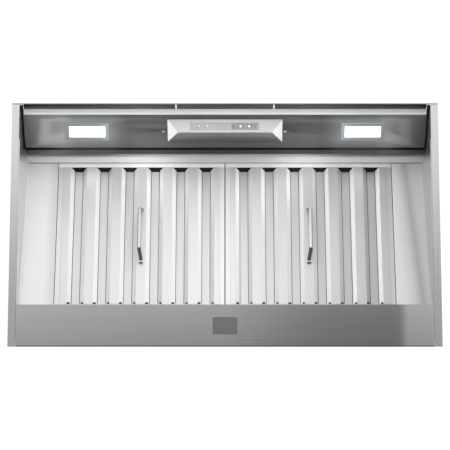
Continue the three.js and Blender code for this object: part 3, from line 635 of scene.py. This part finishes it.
def circle(x, y, r, sides=24):
    """A round loop of points."""
    turns = [math.tau * i / sides for i in range(sides)]
    return [(x + r * math.cos(turn), y + r * math.sin(turn)) for turn in turns]


def oblong(u0, u1, v0, v1):
    """A square-cornered loop of points."""
    return [(u0, v0), (u1, v0), (u1, v1), (u0, v1)]


def plate(name, loops, thick, put, material, body):
    """A flat plate with holes: loops[0] is its edge and the rest are the holes."""
    curve = bpy.data.curves.new(name + "_line", "CURVE")
    curve.dimensions = "2D"
    curve.fill_mode = "BOTH"
    curve.extrude = thick / 2
    for loop in loops:
        spline = curve.splines.new("POLY")
        spline.points.add(len(loop) - 1)
        for point, (u, v) in zip(spline.points, loop):
            point.co = (u, v, 0, 1)
        spline.use_cyclic_u = True
    holder = bpy.data.objects.new(name + "_line", curve)
    flat = bpy.data.meshes.new_from_object(holder)
    bpy.data.objects.remove(holder)
    work = bmesh.new()
    work.from_mesh(flat)
    bmesh.ops.remove_doubles(work, verts=work.verts, dist=1e-4)
    points = [put(*v.co) for v in work.verts]
    faces = [tuple(v.index for v in f.verts) for f in work.faces]
    work.free()
    add_piece(name, [(points, faces)], material, body, bevel=0)


def seal_and_shade(name, solids, body="housing", bevel=0):
    """Black foam or rubber, for seals and for black pieces that stand in for shade (painted shade)."""
    add_piece(name, solids, FOAM_AND_SHADE, body, bevel)


def screws(name, places, axis, radius, tall, body="housing"):
    """A set of equal screw or rivet heads."""
    heads = [screw(place, axis, radius, tall) for place in places]
    add_piece(name, heads, SCREW, body, bevel=0)


def recess_ends(side_name, side):
    """Black strips just behind the front ends of the recesses: painted shade for the dark inside of the
    filter there.
    """
    ends = []
    for c in RECESSES:
        outline = [(c - MOUTH_HALF, END_LOW), (c - MOUTH_HALF, END_KNEE), (c - FLOOR_HALF, END_HIGH),
                   (c + FLOOR_HALF, END_HIGH), (c + MOUTH_HALF, END_KNEE), (c + MOUTH_HALF, END_LOW)]
        ends.append(prism(outline, 8.4, 9.3, lambda x, n, s: on_filter(side * x, s, n)))
    seal_and_shade(side_name + "_recess_ends", ends, side_name + "_filter", bevel=0.0001)


def drain_slots(side_name, side):
    """Black patches of painted shade for the dark drain slots at the foot of each slope; the one on a
    recess's left is wider.
    """
    drains = []
    for c in RECESSES:
        for way in (-1, 1):
            middle, half = DRAIN_LEFT if way * side < 0 else DRAIN_RIGHT
            outline = rounded(c + way * middle - half, c + way * middle + half, *DRAIN_FOOT, 1.4)
            drains.append(prism(outline, 0.2, 0.7, lambda x, s, n: on_filter(side * x, s, n)))
    seal_and_shade(side_name + "_drain_slots", drains, side_name + "_filter")


def foot_shade_lines(side_name, side):
    """Grey lines of painted shade where the slopes meet the floors of the recesses."""
    lines = []
    for c in RECESSES:
        for x in (c - FOOT_SHADE_LINE, c + FOOT_SHADE_LINE):
            outline = oblong(x - FOOT_SHADE_LINE_HALF, x + FOOT_SHADE_LINE_HALF, 12.0, 361.0)
            lines.append(prism(outline, 15.72, 15.97, lambda x, s, n: on_filter(side * x, s, n)))
    add_piece(side_name + "_foot_shade_lines", lines, SLOPE_FOOT_SHADE_GREY, side_name + "_filter", bevel=0)


def frame_rivets(side_name, side):
    """Rivets on the back of a filter's frame."""
    places = [on_filter(side * x, s, FILTER_BACK) for x in RIVETS_ACROSS for s in RIVETS_DOWN]
    screws(side_name + "_frame_rivets", places, INTO_FILTER, 2.6, 1.0, side_name + "_filter")


def panel_ends(side_name, side):
    """Seals beside the lip and the lamp panel, and the dark wing behind the panel's end, a dark sheet on the
    side wall that stands in for the shade there (painted shade).
    """
    def across(y, z, x):
        return hood(side * x, y, z)

    lip_seal = prism(oblong(2.0, 14.4, 2.4, 30.2), 414.9, 421.4, across)
    seal_and_shade(side_name + "_lip_seal", [lip_seal], bevel=0.0006)
    # painted shade: a dark sheet on the side wall, shaped as the panel's end wing, where the wall is in
    # shade
    shade_wing = prism([(4, 3), (15, 28), (50, 139), (66, 146), (76.4, 120), (76.4, 3)], 420.1, 421.2, across)
    add_piece(side_name + "_panel_wing_shade", [shade_wing], WING_WALL_SHADE, "housing", 0.0003)
    panel_seal = prism(oblong(1.0, 114.0, 0.4, -1.6), 415.8, 419.9, lambda u, n, x: on_panel(side * x, u, n))
    seal_and_shade(side_name + "_panel_seal", [panel_seal], bevel=0.0005)


def side_screws(side_name, side):
    """Screws through a side wall, in three upright rows."""
    rows = [(40, 60), (40, 160), (40, 255), (250, 60), (250, 255), (400, 60), (400, 255)]
    places = [hood(side * SIDE_WALL, y, z) for y, z in rows]
    screws(side_name + "_side_screws", places, (side, 0, 0), *SHEET_SCREW)


def filter_gaskets(side_name, side):
    """Dark strips between a filter and its filler panel, and a black strip of painted shade in the seam
    between the two filters.
    """
    def across(s, n, x):
        return on_filter(side * x, s, n)

    seal_and_shade(side_name + "_filler_gasket", [prism(oblong(2, 372, 0.4, 3.0), 346.25, 346.95, across)])
    # painted shade: a black strip in the seam between the two filters
    seam = prism(oblong(1, 374, 0.4, 17.5), 0.05, 0.95, across)
    seal_and_shade(side_name + "_seam_strip", [seam], side_name + "_filter")


for side_label, sign in SIDES:
    recess_ends(side_label, sign)
    drain_slots(side_label, sign)
    foot_shade_lines(side_label, sign)
    frame_rivets(side_label, sign)
    panel_ends(side_label, sign)
    side_screws(side_label, sign)
    filter_gaskets(side_label, sign)


def ceiling_gasket():
    """Dark line between the ceiling strip and the filters."""
    outline = oblong(76.1, 77.1, 151.0, 151.6)
    seal_and_shade("ceiling_gasket", [prism(outline, -409, 409, lambda y, z, x: hood(x, y, z))])


def lip_strips():
    """Dark strip inside the front lip, in three lengths."""
    inner, outer = LIP_TABS
    for k, (x0, x1) in enumerate(((-414, -outer), (-inner, inner), (outer, 414))):
        strip = prism(oblong(1.55, 1.95, 2.2, 27.6), x0, x1, lambda y, z, x: hood(x, y, z))
        add_piece("lip_strip_%d" % k, [strip], STRIP, "housing", bevel=0)


def fascia_window():
    """Film over the right half of the buttons, with round openings for their caps."""
    holes = [circle(x, BUTTON_Y, 4.0) for key, x, size in KEYS if x > 0]
    film = [rounded(13.5, 66.5, 28.8, 41.2, 1.4)] + holes
    plate("fascia_window", film, 0.12, lambda u, v, w: hood(u, v, FILM_Z + w), WINDOW, "housing")


def button_dots():
    """A raised dot in the middle of each cap."""
    for key, x, size in KEYS:
        profile = [(size, 0.0), (size, 0.12), (size * 0.7, 0.22)]
        dot = lathe(profile, hood(x, BUTTON_Y, BUTTON_FACE), (0, 0, -1), 16)
        add_piece(key + "_dot", [dot], MARK, key, bevel=0)


def outer_screws():
    """Screws on the top, front and rear walls, the collar and the junction box."""
    top = [hood(x, y, TOP_WALL) for x in (-405, -210, 210, 405) for y in (20, 150, 285, 418)]
    screws("top_panel_screws", top, Z, *SHEET_SCREW)
    front = [hood(x, FRONT_WALL, z) for x in (-400, -200, 0, 200, 400) for z in (45, 270)]
    screws("front_panel_screws", front, (0, -1, 0), *SHEET_SCREW)
    rear = [hood(x, REAR_WALL, 22) for x in (-400, -200, 0, 200, 400)]
    screws("rear_panel_screws", rear, Y, *SHEET_SCREW)
    turns = [math.tau * (i + 0.5) / COLLAR_SCREWS for i in range(COLLAR_SCREWS)]
    ring = [hood(COLLAR_SCREW_RING * math.cos(turn), COLLAR_Y + COLLAR_SCREW_RING * math.sin(turn),
                 COLLAR_FLANGE_TOP) for turn in turns]
    screws("collar_screws", ring, Z, 2.8, 1.5)
    lid = [hood(x, 338.15, z) for x in (256, 344) for z in (232, 276)]
    screws("junction_cover_screws", lid, (0, -1, 0), 3.0, 1.6)


def rating_plate():
    """A blank plate on the top, with a hole at each end."""
    thick = 0.6
    loops = [rounded(-330, -250, 60, 110, 4), circle(-324, 85, 1.6), circle(-256, 85, 1.6)]
    plate("rating_plate", loops, thick, lambda u, v, w: hood(u, v, TOP_WALL + thick / 2 + w), LAMP_BOX,
          "housing")


def collar_bead():
    """A rolled bead round the collar."""
    count = len(BEAD)
    points, faces = [], []
    for i in range(BEAD_STEPS):
        turn = math.tau * i / BEAD_STEPS
        points += [hood(r * math.cos(turn), COLLAR_Y + r * math.sin(turn), z) for r, z in BEAD]
        here, following = i * count, (i + 1) % BEAD_STEPS * count
        for k in range(count):
            after = (k + 1) % count
            faces.append((here + k, here + after, following + after, following + k))
    add_piece("collar_bead", [(points, faces)], ZINC, "housing", bevel=0)


ceiling_gasket()
lip_strips()
fascia_window()
button_dots()
outer_screws()
rating_plate()
collar_bead()


# ---------------------------------------------------------------- stage and light
def stage_plane(name, size, location, rotation, material, camera=False, glossy=True):
    """A plane of the stage, which casts no shadow and gives no diffuse light."""
    mesh = bpy.data.meshes.new(name)
    w, h = size[0] / 2, size[1] / 2
    mesh.from_pydata([(-w, -h, 0), (w, -h, 0), (w, h, 0), (-w, h, 0)], [], [(0, 1, 2, 3)])
    mesh.materials.append(material)
    plane = bpy.data.objects.new(name, mesh)
    bpy.context.scene.collection.objects.link(plane)
    plane.location = location
    plane.rotation_euler = rotation
    plane.visible_camera = camera
    plane.visible_glossy = glossy
    plane.visible_diffuse = False
    plane.visible_shadow = False
    plane.visible_transmission = camera


FLOOR_Z = -0.75
FLOOR_TONE = 0.86


def floor_material():
    """Pale floor that shows from above only, so that the view from below looks past it."""
    m = Nodes("floor")
    m.fixed(Base_Color=(*grey(FLOOR_TONE), 1), Roughness=0.8)
    tree = m.tree
    clear = tree.nodes.new("ShaderNodeBsdfTransparent")
    mix = tree.nodes.new("ShaderNodeMixShader")
    side = tree.nodes.new("ShaderNodeNewGeometry")
    m.link(side.outputs["Backfacing"], mix.inputs["Fac"])
    m.link(m.shader.outputs[0], mix.inputs[1])
    m.link(clear.outputs[0], mix.inputs[2])
    m.link(mix.outputs[0], tree.nodes["Material Output"].inputs["Surface"])
    return m.material


def card_material(name, build):
    """A light card whose brightness build(tree, glow) sets over its own surface."""
    material = bpy.data.materials.new(name)
    material.use_nodes = True
    tree = material.node_tree
    tree.nodes.remove(tree.nodes["Principled BSDF"])
    glow = tree.nodes.new("ShaderNodeEmission")
    tree.links.new(glow.outputs[0], tree.nodes["Material Output"].inputs["Surface"])
    build(tree, glow)
    return material


def ramped(axis, stops, low, high, across=None):
    """A brightness ramp along one axis of the card, from low to high in metres. across is a second ramp,
    along X from -CARD_HALF to CARD_HALF, that multiplies it."""
    def scaled(tree, source, start, end):
        scale = tree.nodes.new("ShaderNodeMapRange")
        scale.inputs["From Min"].default_value = start
        scale.inputs["From Max"].default_value = end
        tree.links.new(source, scale.inputs["Value"])
        return scale.outputs["Result"]

    def build(tree, glow):
        coords = tree.nodes.new("ShaderNodeTexCoord")
        split = tree.nodes.new("ShaderNodeSeparateXYZ")
        tree.links.new(coords.outputs["Object"], split.inputs[0])
        colour = grey_ramp(tree, scaled(tree, split.outputs[axis], low, high), stops)
        tree.links.new(colour, glow.inputs["Color"])
        glow.inputs["Strength"].default_value = 1.0
        if across:
            strength = grey_ramp(tree, scaled(tree, split.outputs["X"], -CARD_HALF, CARD_HALF), across)
            tree.links.new(strength, glow.inputs["Strength"])
    return build


CARD_HALF = 0.6
BELOW_BACKWARD = [(0.0, 0.9), (0.42, 0.85), (0.62, 0.34), (0.75, 0.25), (1.0, 0.22)]
BELOW_ACROSS = [(0.0, 1.15), (0.08, 1.15), (0.5, 1.0), (0.645, 0.80), (0.76, 0.72), (0.82, 0.74),
                (0.85, 1.15), (1.0, 1.15)]
FRONT_ACROSS = [(0.0, 1.0), (0.45, 1.0), (1.0, 0.55)]

stage_plane("floor", (9, 9), (0, 0, FLOOR_Z), (0, 0, 0), floor_material(), camera=True, glossy=False)
# below the hood: what its level faces mirror, bright towards the front
stage_plane("card_below", (4, 4), (0, 0, -1.0), (0, 0, 0),
            card_material("card_below", ramped("Y", BELOW_BACKWARD, -1.2, 0.4, BELOW_ACROSS)))
# in front: what the sloping filters mirror, a little darker to the right
stage_plane("card_front", (5, 3), (0, -1.5, -0.9), (math.radians(90), 0, 0),
            card_material("card_front", ramped("X", FRONT_ACROSS, -CARD_HALF, CARD_HALF)))


def lamp(name, location, target, size, power, glossy=True):
    """A rectangular area light that the camera doesn't see, turned to its target."""
    light = bpy.data.lights.new(name, "AREA")
    light.shape = "RECTANGLE"
    light.size, light.size_y = size
    light.energy = power
    thing = bpy.data.objects.new(name, light)
    bpy.context.scene.collection.objects.link(thing)
    thing.location = location
    thing.rotation_euler = (Vector(target) - Vector(location)).to_track_quat("-Z", "Y").to_euler()
    thing.visible_camera = False
    thing.visible_glossy = glossy


HOOD_MIDDLE = (0, 0, 0.1)
POD_HIP = hood(108, 40.9, 68.7)          # middle of the pod's right bevel
HIP_LIGHT_FROM = Vector((0.094, 0.071, -0.022))

lamp("key_below", (0.03, -0.12, -0.40), (0.03, 0.0, 0.1), size=(0.25, 0.5), power=2.2, glossy=False)
for sign in (-1, 1):
    mirrored = Vector((sign, 1, 1))
    lamp("hip_light_%d" % sign, (POD_HIP + HIP_LIGHT_FROM) * mirrored, POD_HIP * mirrored,
         size=(0.04, 0.04), power=0.16, glossy=False)
lamp("fill_below", (0, -1.35, -2.1), HOOD_MIDDLE, size=(2.2, 1.4), power=46, glossy=False)
lamp("key_above", (-1.8, -2.2, 3.0), HOOD_MIDDLE, size=(1.6, 1.6), power=70)
lamp("fill_above", (2.4, 0.8, 2.4), HOOD_MIDDLE, size=(1.8, 1.8), power=35)


def studio_world():
    """A grey sky that is lighter above, with plain white behind the object."""
    world = bpy.data.worlds.new("studio")
    bpy.context.scene.world = world
    world.use_nodes = True
    tree = world.node_tree
    sky = tree.nodes["Background"]
    sky.inputs["Strength"].default_value = 0.7
    coords = tree.nodes.new("ShaderNodeTexCoord")
    split = tree.nodes.new("ShaderNodeSeparateXYZ")
    half = tree.nodes.new("ShaderNodeMapRange")
    half.inputs["From Min"].default_value = -1
    half.inputs["From Max"].default_value = 1
    ramp = tree.nodes.new("ShaderNodeValToRGB")
    ramp.color_ramp.elements[0].color = (0.55, 0.55, 0.55, 1)
    ramp.color_ramp.elements[0].position = 0.2
    ramp.color_ramp.elements[1].color = (0.95, 0.95, 0.96, 1)
    ramp.color_ramp.elements[1].position = 0.9
    white = tree.nodes.new("ShaderNodeBackground")
    white.inputs["Color"].default_value = (1, 1, 1, 1)
    white.inputs["Strength"].default_value = 1.05
    path = tree.nodes.new("ShaderNodeLightPath")
    pick = tree.nodes.new("ShaderNodeMixShader")
    tree.links.new(coords.outputs["Generated"], split.inputs[0])
    tree.links.new(split.outputs["Z"], half.inputs["Value"])
    tree.links.new(half.outputs["Result"], ramp.inputs["Fac"])
    tree.links.new(ramp.outputs["Color"], sky.inputs["Color"])
    tree.links.new(path.outputs["Is Camera Ray"], pick.inputs["Fac"])
    tree.links.new(sky.outputs[0], pick.inputs[1])
    tree.links.new(white.outputs[0], pick.inputs[2])
    tree.links.new(pick.outputs[0], tree.nodes["World Output"].inputs["Surface"])


studio_world()
